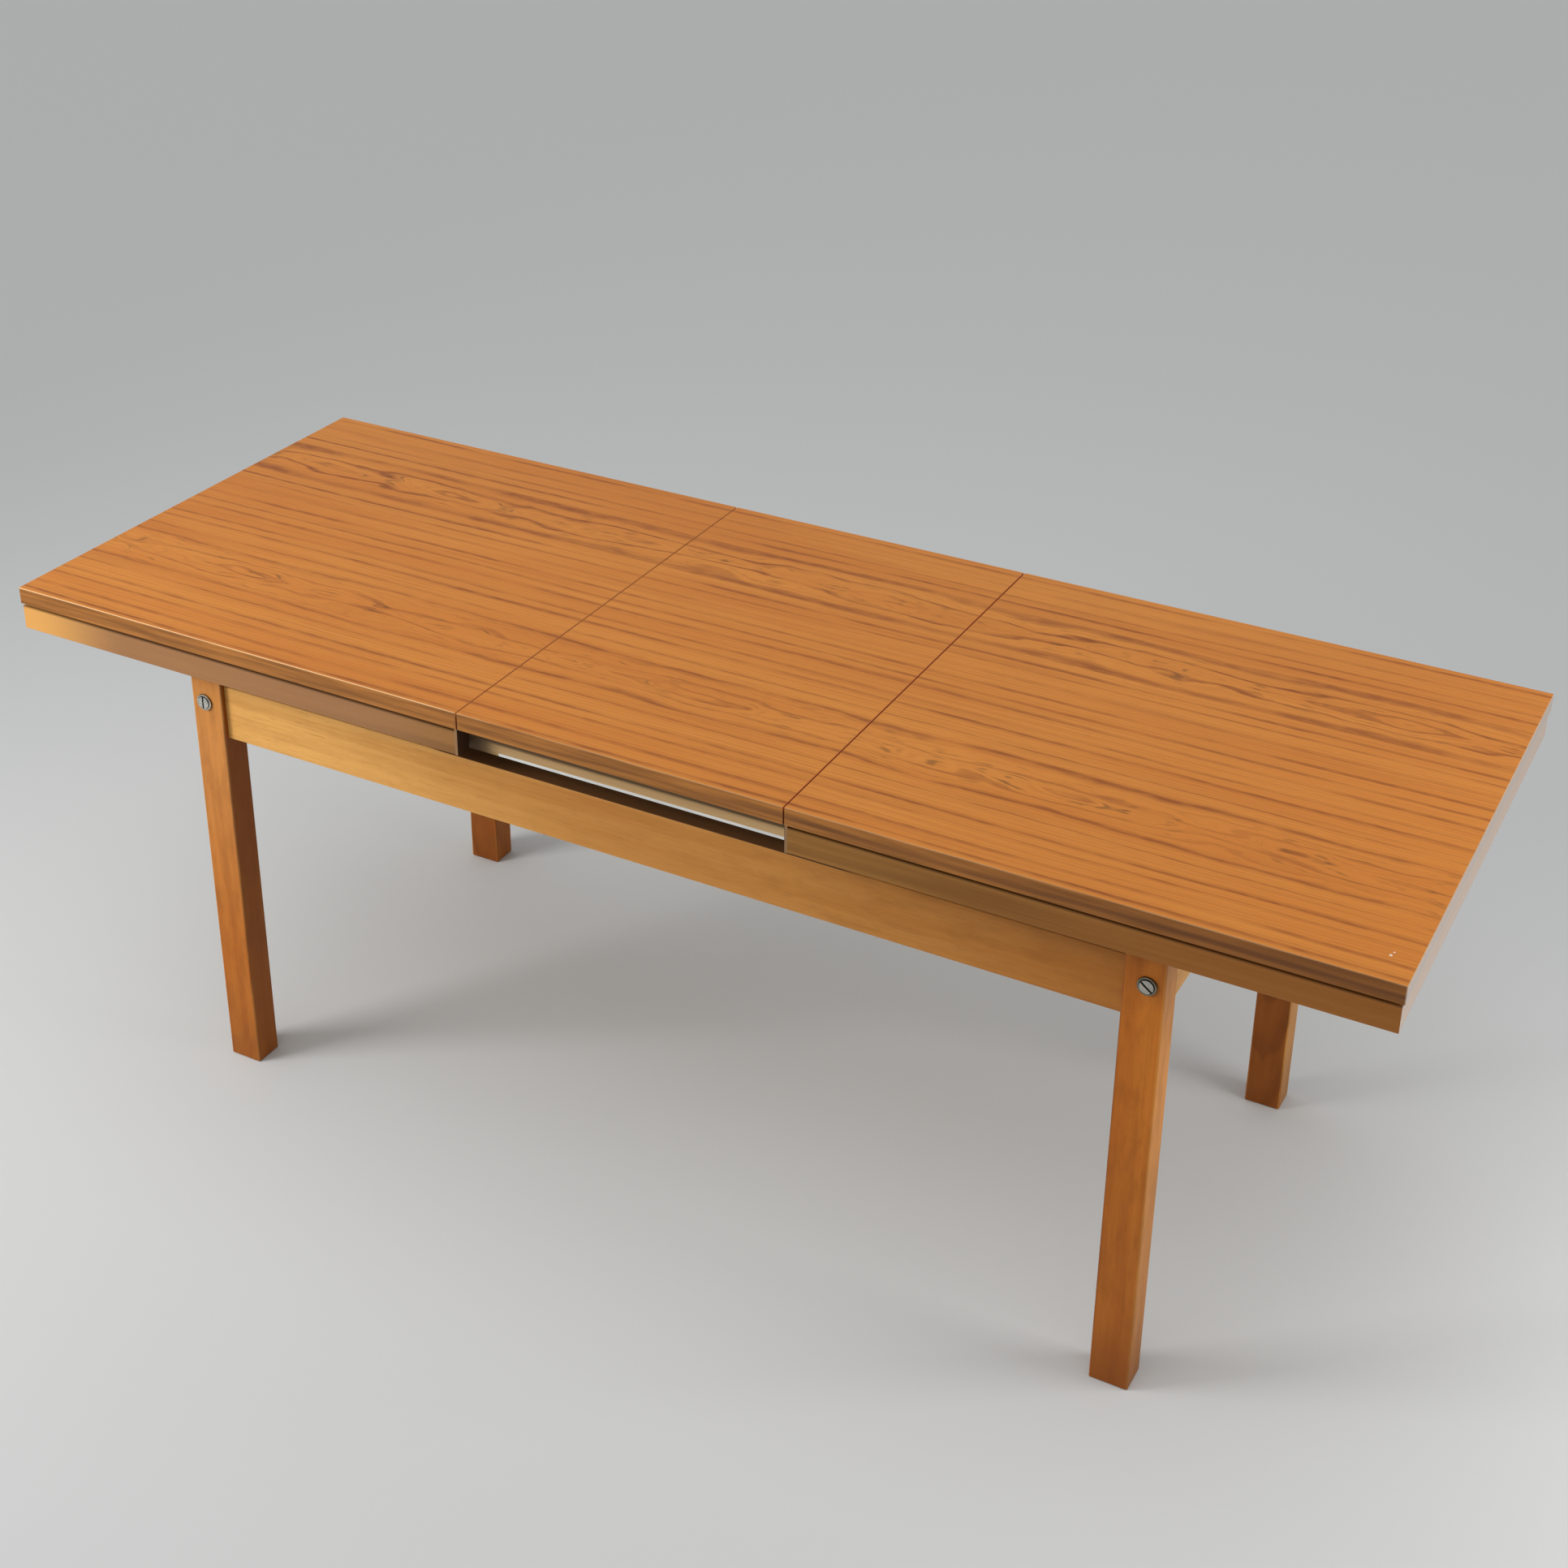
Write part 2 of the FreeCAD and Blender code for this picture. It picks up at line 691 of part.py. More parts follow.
def facing_out(shape, sx, sy):
    """A bolt's piece, made along Z at the origin, set on the outer face of a leg."""
    shape.rotate(Vec(0, 0, 0), X_AXIS, 90)
    if sy > 0:
        shape.rotate(Vec(0, 0, 0), Z_AXIS, 180)
    shape.translate(Vec(sx * end_rail_middle, sy * leg_outer_y, bolt_z))
    return shape


def connector_bolt(sx, sy, slot_turn):
    """Bolt with a low slotted head, seated in its cup washer."""
    head = bolt_head_diameter / 2
    shank = bolt_diameter / 2
    seat = cup_floor
    shoulder = seat + bolt_head_height
    top = shoulder + bolt_head_crown
    half_way = shoulder + bolt_head_crown * 3 / 4
    bolt = turned([(0, seat - bolt_length), (shank, seat - bolt_length), (shank, seat), (head, seat),
                   (head, shoulder), (head / 2, half_way, 0, top)])
    slot = slab(-head, head, -bolt_slot_width / 2, bolt_slot_width / 2, shoulder - bolt_slot_depth, top)
    slot.rotate(Vec(0, 0, 0), Z_AXIS, slot_turn)
    return facing_out(bolt.cut(slot), sx, sy)


def cup_washer(sx, sy):
    """Pressed washer with a raised rim round the bolt head."""
    outer = cup_diameter / 2
    bore = bolt_diameter / 2 + bolt_gap
    inner = outer - cup_rim
    half_rim = cup_rim / 2
    shoulder = cup_height - half_rim
    profile = [(bore, 0), (outer, 0), (outer, shoulder), (outer - half_rim, cup_height, inner, shoulder),
               (inner, cup_floor), (bore, cup_floor)]
    return facing_out(turned(profile), sx, sy)


def barrel_nut(sx, sy):
    """Cross dowel that the bolt screws into."""
    return barrel_nut_room(sx, sy, 0).cut(bolt_hole(sx, sy))


corners = [(f"{row}_{side}", sx, sy) for row, sy in ROWS.items() for side, sx in SIDES.items()]
for corner, sx, sy in corners:
    save(f"leg_{corner}", [leg(sx, sy)])
for row, sy in ROWS.items():
    save(f"apron_{row}", [apron(sy)])
    save(f"guide_rail_{row}", [guide_rail(sy)])
for side, sx in SIDES.items():
    save(f"end_rail_{side}", [end_rail(sx)])
    save(f"cross_rail_{side}", [cross_rail(sx)])
save("connector_bolts", [connector_bolt(sx, sy, bolt_slot_turns[corner]) for corner, sx, sy in corners])
save("bolt_cup_washers", [cup_washer(sx, sy) for corner, sx, sy in corners])
save("barrel_nuts", [barrel_nut(sx, sy) for corner, sx, sy in corners])
save("apron_dowels", [dowel for corner, sx, sy in corners for dowel in apron_dowels(sx, sy, 0)])
save("end_rail_dowels", [dowel for corner, sx, sy in corners for dowel in end_rail_dowels(sx, sy, 0)])
save("cross_rail_dowels", [dowel for corner, sx, sy in corners for dowel in cross_rail_dowels(sx, sy, 0)])
save("guide_rail_screws", [wood_screw(screw_diameter, length, x, sy * guide_middle, guide_top, -1)
                           for sy in ROWS.values() for x, length in guide_screw_places()])

for piece, solids in end_top("front", "rear").items():
    save(f"right_{piece}", solids)
for piece, solids in end_top("rear", "front").items():
    save(f"left_{piece}", [half_turn(solid) for solid in solids])

save("leaf_panel", [leaf_panel()])
save("leaf_cleats", [leaf_cleat(x) for x in cleat_places()])
save("leaf_cleat_screws", [wood_screw(screw_diameter, cleat_screw_length, x, y, cleat_foot, 1)
                           for x in cleat_places() for y in cleat_screw_places()])
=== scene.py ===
import math

import bpy
import numpy as np
from mathutils import Matrix, Vector


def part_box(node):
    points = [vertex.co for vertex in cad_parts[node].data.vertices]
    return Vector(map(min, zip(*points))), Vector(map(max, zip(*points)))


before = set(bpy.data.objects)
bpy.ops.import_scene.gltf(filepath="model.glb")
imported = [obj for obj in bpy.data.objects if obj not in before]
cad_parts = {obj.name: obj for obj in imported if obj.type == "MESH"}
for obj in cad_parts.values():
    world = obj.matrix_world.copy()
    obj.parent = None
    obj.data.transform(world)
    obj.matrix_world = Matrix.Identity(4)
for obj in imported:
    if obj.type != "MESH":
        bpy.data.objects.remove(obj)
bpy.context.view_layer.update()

# Legs: four square posts of stained beech, planed and eased on their edges. Each is bolted to an
# end rail and dowelled to an apron, so that the base comes apart. The grain runs up the post. Values
# named fade and full are distances from a face or a seam, where a change begins and is complete.


class Tone:
    """One value or colour on a finish, held as a node socket, so that its maths reads as maths."""

    def __init__(self, tree, socket):
        self.tree = tree
        self.socket = socket

    def node(self, kind, settings, values, output=0):
        """Adds a node of any kind: its settings first, then its sockets by name or by number."""
        made = self.tree.nodes.new(kind)
        for name, setting in settings.items():
            setattr(made, name, setting)
        for name, value in values.items():
            if isinstance(value, Tone):
                self.tree.links.new(value.socket, made.inputs[name])
            else:
                made.inputs[name].default_value = value
        return Tone(self.tree, made.outputs[output])

    def maths(self, operation, *terms):
        """A Math node on up to three terms."""
        return self.node("ShaderNodeMath", {"operation": operation}, dict(enumerate(terms)))

    def __add__(self, other):
        return self.maths("ADD", self, other)

    def __radd__(self, other):
        return self.maths("ADD", other, self)

    def __sub__(self, other):
        return self.maths("SUBTRACT", self, other)

    def __rsub__(self, other):
        return self.maths("SUBTRACT", other, self)

    def __mul__(self, other):
        return self.maths("MULTIPLY", self, other)

    def __rmul__(self, other):
        return self.maths("MULTIPLY", other, self)

    def __truediv__(self, other):
        return self.maths("DIVIDE", self, other)

    def __pow__(self, other):
        return self.maths("POWER", self, other)

    def __abs__(self):
        return self.maths("ABSOLUTE", self)

    def rise(self, low, high):
        """0 below low, 1 above high, and a smooth rise between them; low may be the larger."""
        return self.node("ShaderNodeMapRange", {"interpolation_type": "SMOOTHSTEP"},
                         {"Value": self, "From Min": low, "From Max": high})


def lay_over(share, upper, under):
    """Upper colour over under colour by a share. At least one of the three is a Tone."""
    tone = next(term for term in (share, upper, under) if isinstance(term, Tone))
    return tone.node("ShaderNodeMix", {"data_type": "RGBA"}, {0: share, 6: under, 7: upper}, 2)


def build_up(colour, *layers):
    """A colour under further layers, each given as its share and its colour, the outermost last."""
    for share, layer in layers:
        colour = lay_over(share, layer, colour)
    return colour


def stain(red, green, blue):
    """Linear colour of a finish that is named by its sRGB values, 0 to 255."""
    shares = np.array([red, green, blue]) / 255
    linear = np.where(shares <= 0.04045, shares / 12.92, ((shares + 0.055) / 1.055) ** 2.4)
    return (*linear.tolist(), 1.0)


def new_finish(name):
    """A new material, its shader, and the object's X, Y and Z in metres as Tones."""
    material = bpy.data.materials.new(name)
    material.use_nodes = True
    tree = material.node_tree
    shader = tree.nodes["Principled BSDF"]
    places = Tone(tree, None).node("ShaderNodeTexCoord", {}, {}, "Object")
    axes = [places.node("ShaderNodeSeparateXYZ", {}, {"Vector": places}, axis) for axis in range(3)]
    return material, shader, axes


def cloud(axes, sizes, detail=2.0, seed=0.0):
    """Soft noise from 0 to 1, with blots of the given sizes in metres along the three axes."""
    scaled = [axis / size for axis, size in zip(axes, sizes)]
    place = axes[0].node("ShaderNodeCombineXYZ", {}, dict(enumerate(scaled)))
    return place.node("ShaderNodeTexNoise", {"noise_dimensions": "4D"},
                      {"Vector": place, "W": seed, "Scale": 1.0, "Detail": detail, "Roughness": 0.55})


def close_finish(shader, colour, roughness, height, depth, **sockets):
    """Feeds a shader its colour, its roughness, a surface height with its depth in metres, and any
    other of its sockets by name."""
    bump = height.node("ShaderNodeBump", {}, {"Height": height, "Distance": depth, "Strength": 0.6})
    sockets.update(base_color=colour, roughness=roughness, normal=bump)
    for name, value in sockets.items():
        socket = shader.inputs[name.replace("_", " ").title().replace("Ior", "IOR")]
        if isinstance(value, Tone):
            value.tree.links.new(value.socket, socket)
        else:
            socket.default_value = value


def dress(material, *names):
    """Gives CAD nodes one finish."""
    for name in names:
        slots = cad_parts[name].data.materials
        slots.clear()
        slots.append(material)


def along(axes, run):
    """The three axes in the order along, across and through, for grain that runs along one of them."""
    order = {"x": (0, 1, 2), "y": (1, 0, 2), "z": (2, 0, 1)}[run]
    return [axes[index] for index in order]


def eased_edge(first, second, low, high, width):
    """1 on the edges of a bar, 0 past a width from them, from its two places across the bar and the
    lowest and highest of both: the larger of the two distances to a face is the one to an edge."""
    gaps = []
    for place, least, most in zip((first, second), low, high):
        gaps.append((most - least) / 2 - abs(place - (least + most) / 2))
    return gaps[0].maths("MAXIMUM", *gaps).rise(width, 0.0)


def solid_wood(name, run, pale, deep, band=0.011, band_share=0.5):
    """Straight-grained solid wood as (material, shader, axes, colour, fibres): broad soft bands of
    the growth rings, fibres drawn out along the board, and fine open pores."""
    material, shader, axes = new_finish(name)
    grain = along(axes, run)
    band_size = (0.55, band, band)
    fibre_size = (0.09, 0.0022, 0.0022)
    shade_size = (0.30, 0.09, 0.09)
    pore_size = (0.012, 0.0005, 0.0005)
    bands = cloud(grain, band_size).rise(0.30, 0.72)
    fibres = cloud(grain, fibre_size, detail=3.0, seed=2.0).rise(0.28, 0.72)
    shade = cloud(grain, shade_size, detail=1.0, seed=5.0).rise(0.30, 0.70)
    pores = cloud(grain, pore_size, detail=1.0, seed=8.0).rise(0.62, 0.74)
    pore_dark = (*[0.45 * part for part in deep[:3]], 1.0)
    darkness = band_share * bands + 0.35 * fibres * (1 - band_share) + 0.30 * shade
    colour = build_up(pale, (darkness.rise(0.05, 0.95), deep), (0.35 * pores, pore_dark))
    return material, shader, axes, colour, fibres - 0.6 * pores


leg_pale = stain(202, 120, 38)
leg_deep = stain(182, 101, 28)
# The next four colours: painted shade on the rear legs, latewood that also serves as painted shade, and
# painted light on the outer faces and on the upper front of the left front leg.
leg_rear_shade = stain(120, 62, 22)
leg_latewood_and_shade = stain(104, 50, 12)
leg_outer_lit = stain(232, 166, 78)
leg_lit_colour = stain(206, 160, 100)
leg_worn = stain(214, 150, 80)
leg_scuffed = stain(110, 66, 32)
leg_face_fade = 0.0024
leg_face_full = 0.0008
leg_edge_width = 0.0022
leg_pith_x = 0.500
leg_pith_y = 0.300
leg_pith_lean_front = 0.018
leg_pith_lean_rear = 0.058
leg_ring_step = 0.0046
leg_wobble_size = (0.02, 0.02, 0.12)
leg_blot_size = (0.012, 0.012, 0.040)
leg_rub_size = (0.02, 0.02, 0.05)
leg_scuff_size = (0.012, 0.012, 0.02)
leg_side_place = 0.4
leg_row_place = 0.05
# Heights where painted light on the left front leg, painted shade down the legs, and a painted shadow under
# the frieze begin and end.
leg_light_foot = 0.12
leg_light_head = 0.42
leg_fall_shade_head = 0.38
leg_fall_shade_foot = 0.10
leg_head_shadow_low = 0.415
leg_head_shadow_high = 0.470
leg_scuff_height = 0.05
leg_low, leg_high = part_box("leg_front_right")
legs, leg_shader, leg_axes, leg_colour, leg_fibres = solid_wood("leg_beech", "z", leg_pale, leg_deep)
leg_x, leg_y, leg_z = leg_axes

leg_at_rear = leg_y.rise(-leg_row_place, leg_row_place)
leg_at_right = leg_x.rise(0.0, leg_side_place) * (1 - leg_at_rear)
leg_inner_face = abs(leg_x).rise(leg_low.x + leg_face_fade, leg_low.x + leg_face_full)
leg_outer_face = abs(leg_x).rise(leg_high.x - leg_face_fade, leg_high.x - leg_face_full)
leg_front_face = leg_y.rise(leg_low.y + leg_face_fade, leg_low.y + leg_face_full)

leg_pith_lean = leg_pith_lean_front + (leg_pith_lean_rear - leg_pith_lean_front) * leg_at_rear
leg_off_x = abs(leg_x) - leg_pith_x
leg_off_y = abs(leg_y) - leg_pith_y + leg_pith_lean * leg_z
leg_wobble = cloud(leg_axes, leg_wobble_size, seed=11.0) - 0.5
leg_count = (leg_off_x * leg_off_x + leg_off_y * leg_off_y) ** 0.5 / leg_ring_step + 1.1 * leg_wobble
leg_part = leg_count - leg_count.maths("FLOOR", leg_count)
leg_rings = leg_part.rise(0.25, 0.88) * leg_part.rise(1.0, 0.88)

# painted light on the upper front of the left front leg, lit from the left
leg_painted_light = leg_front_face * leg_x.rise(0.0, -leg_side_place) * leg_z.rise(leg_light_foot, leg_light_head)
# painted shade: each leg darker towards its foot, and darker still near the floor
leg_fall_shade = (0.24 + 0.06 * leg_at_right) * leg_z.rise(leg_fall_shade_head, leg_fall_shade_foot)
leg_fall_shade = leg_fall_shade + (0.24 + 0.12 * leg_at_right) * leg_z.rise(leg_fall_shade_foot, 0.0)
# painted shadow of the frieze on the head of the right front leg
leg_head_shadow = leg_front_face * leg_at_right * leg_z.rise(leg_head_shadow_low, leg_head_shadow_high)
leg_blots = cloud(leg_axes, leg_blot_size, detail=3.0, seed=9.0).rise(0.42, 0.68)
leg_edges = eased_edge(abs(leg_x), abs(leg_y), (leg_low.x, -leg_high.y), (leg_high.x, -leg_low.y),
                       leg_edge_width)
leg_rubs = leg_edges * cloud(leg_axes, leg_rub_size, seed=3.0).rise(0.35, 0.65)
leg_scuffs = cloud(leg_axes, leg_scuff_size, seed=6.0).rise(0.5, 0.75)
leg_scuffs = leg_z.rise(leg_scuff_height, 0.0) * leg_scuffs

leg_colour = build_up(
    leg_colour,
    # painted shade: the rear legs, standing under the table, are darker
    (0.50 * leg_at_rear, leg_rear_shade),
    # painted shade: the front legs' inner faces, turned away from the light, are dark
    (0.60 * leg_inner_face * (1 - leg_at_rear), leg_latewood_and_shade),
    # painted light: the outer faces, lit from the ends of the table, are paler and more golden
    ((0.38 + 0.28 * leg_at_rear) * leg_outer_face, leg_outer_lit),
    # painted light: the upper front of the left front leg
    (0.30 * leg_painted_light, leg_lit_colour),
    # painted shade: darker down the legs
    (leg_fall_shade * (1 - leg_inner_face), leg_latewood_and_shade),
    ((0.09 + 0.30 * leg_at_rear) * leg_rings, leg_latewood_and_shade),
    (0.22 * leg_blots, leg_latewood_and_shade),
    # painted shadow under the frieze
    (0.28 * leg_head_shadow, leg_latewood_and_shade),
    ((0.4 - 0.2 * leg_at_right) * leg_rubs, leg_worn),
    (0.35 * leg_scuffs, leg_scuffed))
close_finish(leg_shader, leg_colour, roughness=0.40 + 0.10 * leg_fibres, height=leg_fibres, depth=0.00012,
             specular_ior_level=0.2)
dress(legs, *[f"leg_{row}_{side}" for row in ("front", "rear") for side in ("left", "right")])

# Aprons and end rails: boards of golden stained beech set back from the legs' faces. The aprons are
# dowelled to the legs and carry the cross rails; the end rails take the connector bolts. A stretch such
# as apron_falloff is two places along X, where a change begins and is complete.

apron_pale = stain(226, 168, 91)
apron_deep = stain(196, 136, 65)
# The next four colours: painted shade where the light falls off to the right, flecks that also serve as
# painted shadow under the frieze, painted shade on the upper face in the slot, and rubbed edges with a
# painted highlight.
apron_falloff_shade = stain(164, 96, 31)
apron_fleck_and_shadow = stain(140, 86, 34)
apron_slot_shade = stain(92, 60, 34)
apron_worn_and_lit = stain(230, 188, 118)
apron_band = 0.016
apron_edge_width = 0.0016
apron_blot_size = (0.040, 0.012, 0.012)
apron_fleck_size = (0.020, 0.0011, 0.0011)
# The stretches below place painted shade and a painted highlight along X.
apron_falloff = (-0.42, 0.0)
apron_far_falloff = (0.28, 0.50)
apron_frieze_shadowing = (0.22, 0.42)
apron_blotting = (-0.10, 0.35)
apron_edge_lighting = (0.30, 0.0)
apron_lit_foot = 0.015
# painted shade on the apron's upper face within the slot
slot_shading = (0.235, 0.215)
slot_shade_fade = 0.0008
slot_shade_full = 0.0003


def apron_finish(name, run, low, high):
    """Golden beech for a board from its lowest and highest places across and up. Its long edges are
    rubbed paler, with a painted highlight to the left. Aprons run along X and carry painted shade that
    darkens them to the right and under the frieze, and painted shade on their upper face in the slot."""
    material, shader, axes, colour, fibres = solid_wood(
        name, run, apron_pale, apron_deep, band=apron_band, band_share=0.45)
    x, y, z = axes
    across = x
    if run == "x":
        across = y
        # painted shade: darker to the right, as the light falls off from the left
        falloff_shade = 0.58 * x.rise(*apron_falloff) + 0.25 * x.rise(*apron_far_falloff)
        # painted shadow of the frieze on the apron's upper part, to the right
        frieze_shadow = x.rise(*apron_frieze_shadowing) * z.rise(low[1] + apron_lit_foot, high[1])
        colour = build_up(colour, (falloff_shade, apron_falloff_shade), (0.30 * frieze_shadow, apron_fleck_and_shadow))
    grain = along(axes, run)
    blots = cloud(grain, apron_blot_size, detail=3.0, seed=17.0).rise(0.42, 0.68)
    flecks = cloud(grain, apron_fleck_size, seed=14.0).rise(0.55, 0.75)
    # painted shade: the upper face, under the leaf in the slot, is dark
    slot_shade = z.rise(high[1] - slot_shade_fade, high[1] - slot_shade_full) * abs(x).rise(*slot_shading)
    edges = eased_edge(abs(across), z, low, high, apron_edge_width)
    colour = build_up(
        colour,
        ((0.10 + 0.20 * x.rise(*apron_blotting)) * blots, apron_fleck_and_shadow),
        (0.30 * flecks, apron_fleck_and_shadow),
        (slot_shade, apron_slot_shade),
        # rubbed edges with a painted highlight that fades out to the right
        (0.35 * x.rise(*apron_edge_lighting) * edges * (1 - slot_shade), apron_worn_and_lit))
    close_finish(shader, colour, roughness=0.42 + 0.10 * fibres, height=fibres, depth=0.00012,
                 specular_ior_level=0.2)
    return material


apron_low, apron_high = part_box("apron_rear")
rail_low, rail_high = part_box("end_rail_right")
dress(apron_finish("apron_beech", "x", (apron_low.y, apron_low.z), (apron_high.y, apron_high.z)),
      "apron_front", "apron_rear")
dress(apron_finish("end_rail_beech", "y", (rail_low.x, rail_low.z), (rail_high.x, rail_high.z)),
      "end_rail_left", "end_rail_right")

# Raw beech inside the base: cross rails and dowels along Y, guide rails and dowels along X. The wood
# is unfinished, so it is matt, with the short dark flecks of beech.

beech_pale = stain(226, 203, 156)
beech_deep = stain(196, 166, 116)
beech_fleck = stain(138, 98, 58)
beech_fleck_size = (0.006, 0.0012, 0.0012)
beech_band = 0.009


def raw_beech(name, run):
    """Unfinished beech: pale, matt, with short flecks along the grain."""
    material, shader, axes, colour, fibres = solid_wood(
        name, run, beech_pale, beech_deep, band=beech_band, band_share=0.4)
    flecks = cloud(along(axes, run), beech_fleck_size, detail=1.0, seed=4.0).rise(0.60, 0.72)
    colour = lay_over(0.35 * flecks, beech_fleck, colour)
    close_finish(shader, colour, roughness=0.62, height=fibres, depth=0.00015)
    return material


beech_along = raw_beech("raw_beech_along", "x")
beech_across = raw_beech("raw_beech_across", "y")
dress(beech_along, "guide_rail_front", "guide_rail_rear", "apron_dowels")
dress(beech_across, "cross_rail_left", "cross_rail_right", "cross_rail_dowels", "end_rail_dowels")

# Connector bolts: big slotted nickel-plated heads in turned cup washers, one through the head of each
# leg, drawn into a barrel nut in the end rail. Old polish and dust darken the cups and the slots.

nickel_bright = stain(222, 220, 212)
nickel_dull = stain(188, 185, 174)
nickel_shade = stain(104, 98, 80)
nickel_dirt = stain(66, 58, 48)
zinc_bright = stain(178, 176, 168)
zinc_dull = stain(142, 138, 128)
cup_dirt_depth = 0.0016
slot_dirt_depth = 0.0012
clean_rim = 0.0006
# the stretch over which the bolts darken to the right as painted shade
bolt_shading = (0.0, 0.4)
mark_size = (0.004, 0.004, 0.004)


def plated(name, bright, dull, rough):
    """Plated steel with faint handling marks, as (material, shader, axes, colour, roughness, marks)."""
    material, shader, axes = new_finish(name)
    marks = cloud(axes, mark_size, detail=3.0).rise(0.35, 0.70)
    return material, shader, axes, lay_over(marks, bright, dull), rough + 0.12 * marks, marks


def nickel(name, rough, shaded_share, face, dirt_depth):
    """Nickel plate, darkened by a share to the right as painted shade. Dirt lies deeper than a depth
    behind the front face, which is given by its distance from the middle of the table."""
    material, shader, axes, colour, roughness, marks = plated(name, nickel_bright, nickel_dull, rough)
    dirt = abs(axes[1]).rise(face - clean_rim, face - dirt_depth)
    # painted shade: the plate darkens to the right, away from the light
    painted_shade = shaded_share * axes[0].rise(*bolt_shading)
    colour = build_up(colour, (painted_shade, nickel_shade), (0.75 * dirt, nickel_dirt))
    close_finish(shader, colour, roughness, height=marks, depth=0.00002, metallic=1.0)
    return material


cup_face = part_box("bolt_cup_washers")[1].y
bolt_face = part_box("connector_bolts")[1].y
dress(nickel("nickel_cups", rough=0.22, shaded_share=0.80, face=cup_face, dirt_depth=cup_dirt_depth),
      "bolt_cup_washers")
dress(nickel("nickel_bolts", rough=0.24, shaded_share=0.30, face=bolt_face, dirt_depth=slot_dirt_depth),
      "connector_bolts")
zinc, zinc_shader, _, zinc_colour, zinc_roughness, zinc_marks = plated(
    "zinc_steel", zinc_bright, zinc_dull, rough=0.34)
close_finish(zinc_shader, zinc_colour, zinc_roughness, height=zinc_marks, depth=0.00002, metallic=1.0)
dress(zinc, "barrel_nuts", "guide_rail_screws")

# Runners: beech bars screwed up into each top, a pair in lanes inside the aprons and a slide bar on the
# head of one leg. Aluminium soles lie flush in their lower faces, and stop blocks meet the cross rails.

# painted shade: the slide bar's beech is a darker copy of the runners', for the slot it stands in
bar_shade_pale = stain(204, 170, 122)
bar_shade_deep = stain(172, 136, 90)
# painted shade under the leaf's edge and at the bar's inner end: its colour, heights and stretch
bar_shadow = stain(58, 38, 22)
bar_lit_height = 0.0100
bar_shadow_height = 0.0138
bar_end_shadowing = (0.138, 0.170)
sole_bright = stain(236, 236, 233)
sole_dull = stain(220, 220, 217)
sole_line_size = (0.25, 0.0004, 0.0004)
sole_polish_size = (0.06, 0.01, 0.01)

dress(beech_along, *[f"{side}_{part}" for side in ("left", "right")
                     for part in ("runner_front", "runner_rear", "runner_stops")])

slide_bars, bar_shader, bar_axes, bar_colour, bar_fibres = solid_wood(
    "slot_shaded_beech", "x", bar_shade_pale, bar_shade_deep, band=beech_band, band_share=0.4)
bar_x, bar_y, bar_z = bar_axes
bar_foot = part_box("right_slide_bar")[0].z
bar_reach = bar_x * bar_y / abs(bar_y)
# painted shade: dark near the top of the bar's face and towards its inner end
bar_shadow_share = bar_z.rise(bar_foot + bar_lit_height, bar_foot + bar_shadow_height)
bar_shadow_share = bar_shadow_share.maths("MAXIMUM", bar_shadow_share, bar_reach.rise(*bar_end_shadowing))
bar_colour = lay_over(0.85 * bar_shadow_share, bar_shadow, bar_colour)
close_finish(bar_shader, bar_colour, roughness=0.6, height=bar_fibres, depth=0.00015,
             specular_ior_level=0.2)
dress(slide_bars, "left_slide_bar", "right_slide_bar")

soles, sole_shader, sole_axes = new_finish("drawn_aluminium")
sole_lines = cloud(sole_axes, sole_line_size)
sole_polish = cloud(sole_axes, sole_polish_size, seed=3.0).rise(0.35, 0.70)
sole_colour = lay_over(sole_polish, sole_bright, sole_dull)
close_finish(sole_shader, sole_colour, roughness=0.45 + 0.16 * sole_lines, height=sole_lines, depth=0.00003,
             metallic=0.30)
dress(soles, *[f"{side}_{part}" for side in ("left", "right")
               for part in ("runner_sole_front", "runner_sole_rear", "slide_sole")])
dress(zinc, *[f"{side}_{part}" for side in ("left", "right")
              for part in ("runner_screws", "sole_screws", "stop_screws", "slide_bar_screws")])

# Frieze: veneered boards glued under the edges of each end top, mitred at the corners, with a shadow
# groove under the panel, a thin pale lipping on the ends at the seams, and glue blocks inside.

frieze_pale = stain(154, 106, 50)
frieze_deep = stain(120, 78, 32)
frieze_warm = stain(156, 92, 34)
frieze_grey = stain(166, 120, 84)
# The next three colours: painted light at the far left, a painted reflection on the end boards, and painted
# shade below the groove.
frieze_lit_gold = stain(230, 168, 88)
frieze_end_sheen = stain(214, 190, 158)
frieze_groove_shade = stain(44, 26, 14)
frieze_band = 0.010
frieze_warming = (0.25, 0.65)
frieze_greying = (-0.10, -0.30)
# painted light at the far left
frieze_left_lighting = (-0.580, -0.715)
groove_height = 0.003
groove_fade = 0.0024
groove_full = 0.0002
groove_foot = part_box("right_frieze_front")[1].z - groove_height
lipping_pale = stain(146, 108, 70)
lipping_deep = stain(126, 90, 54)
# painted shade on the lipping's end at the seam
lipping_end_shade = stain(56, 32, 16)
lipping_band = 0.004
lipping_fade = 0.0004
lipping_full = 0.0001


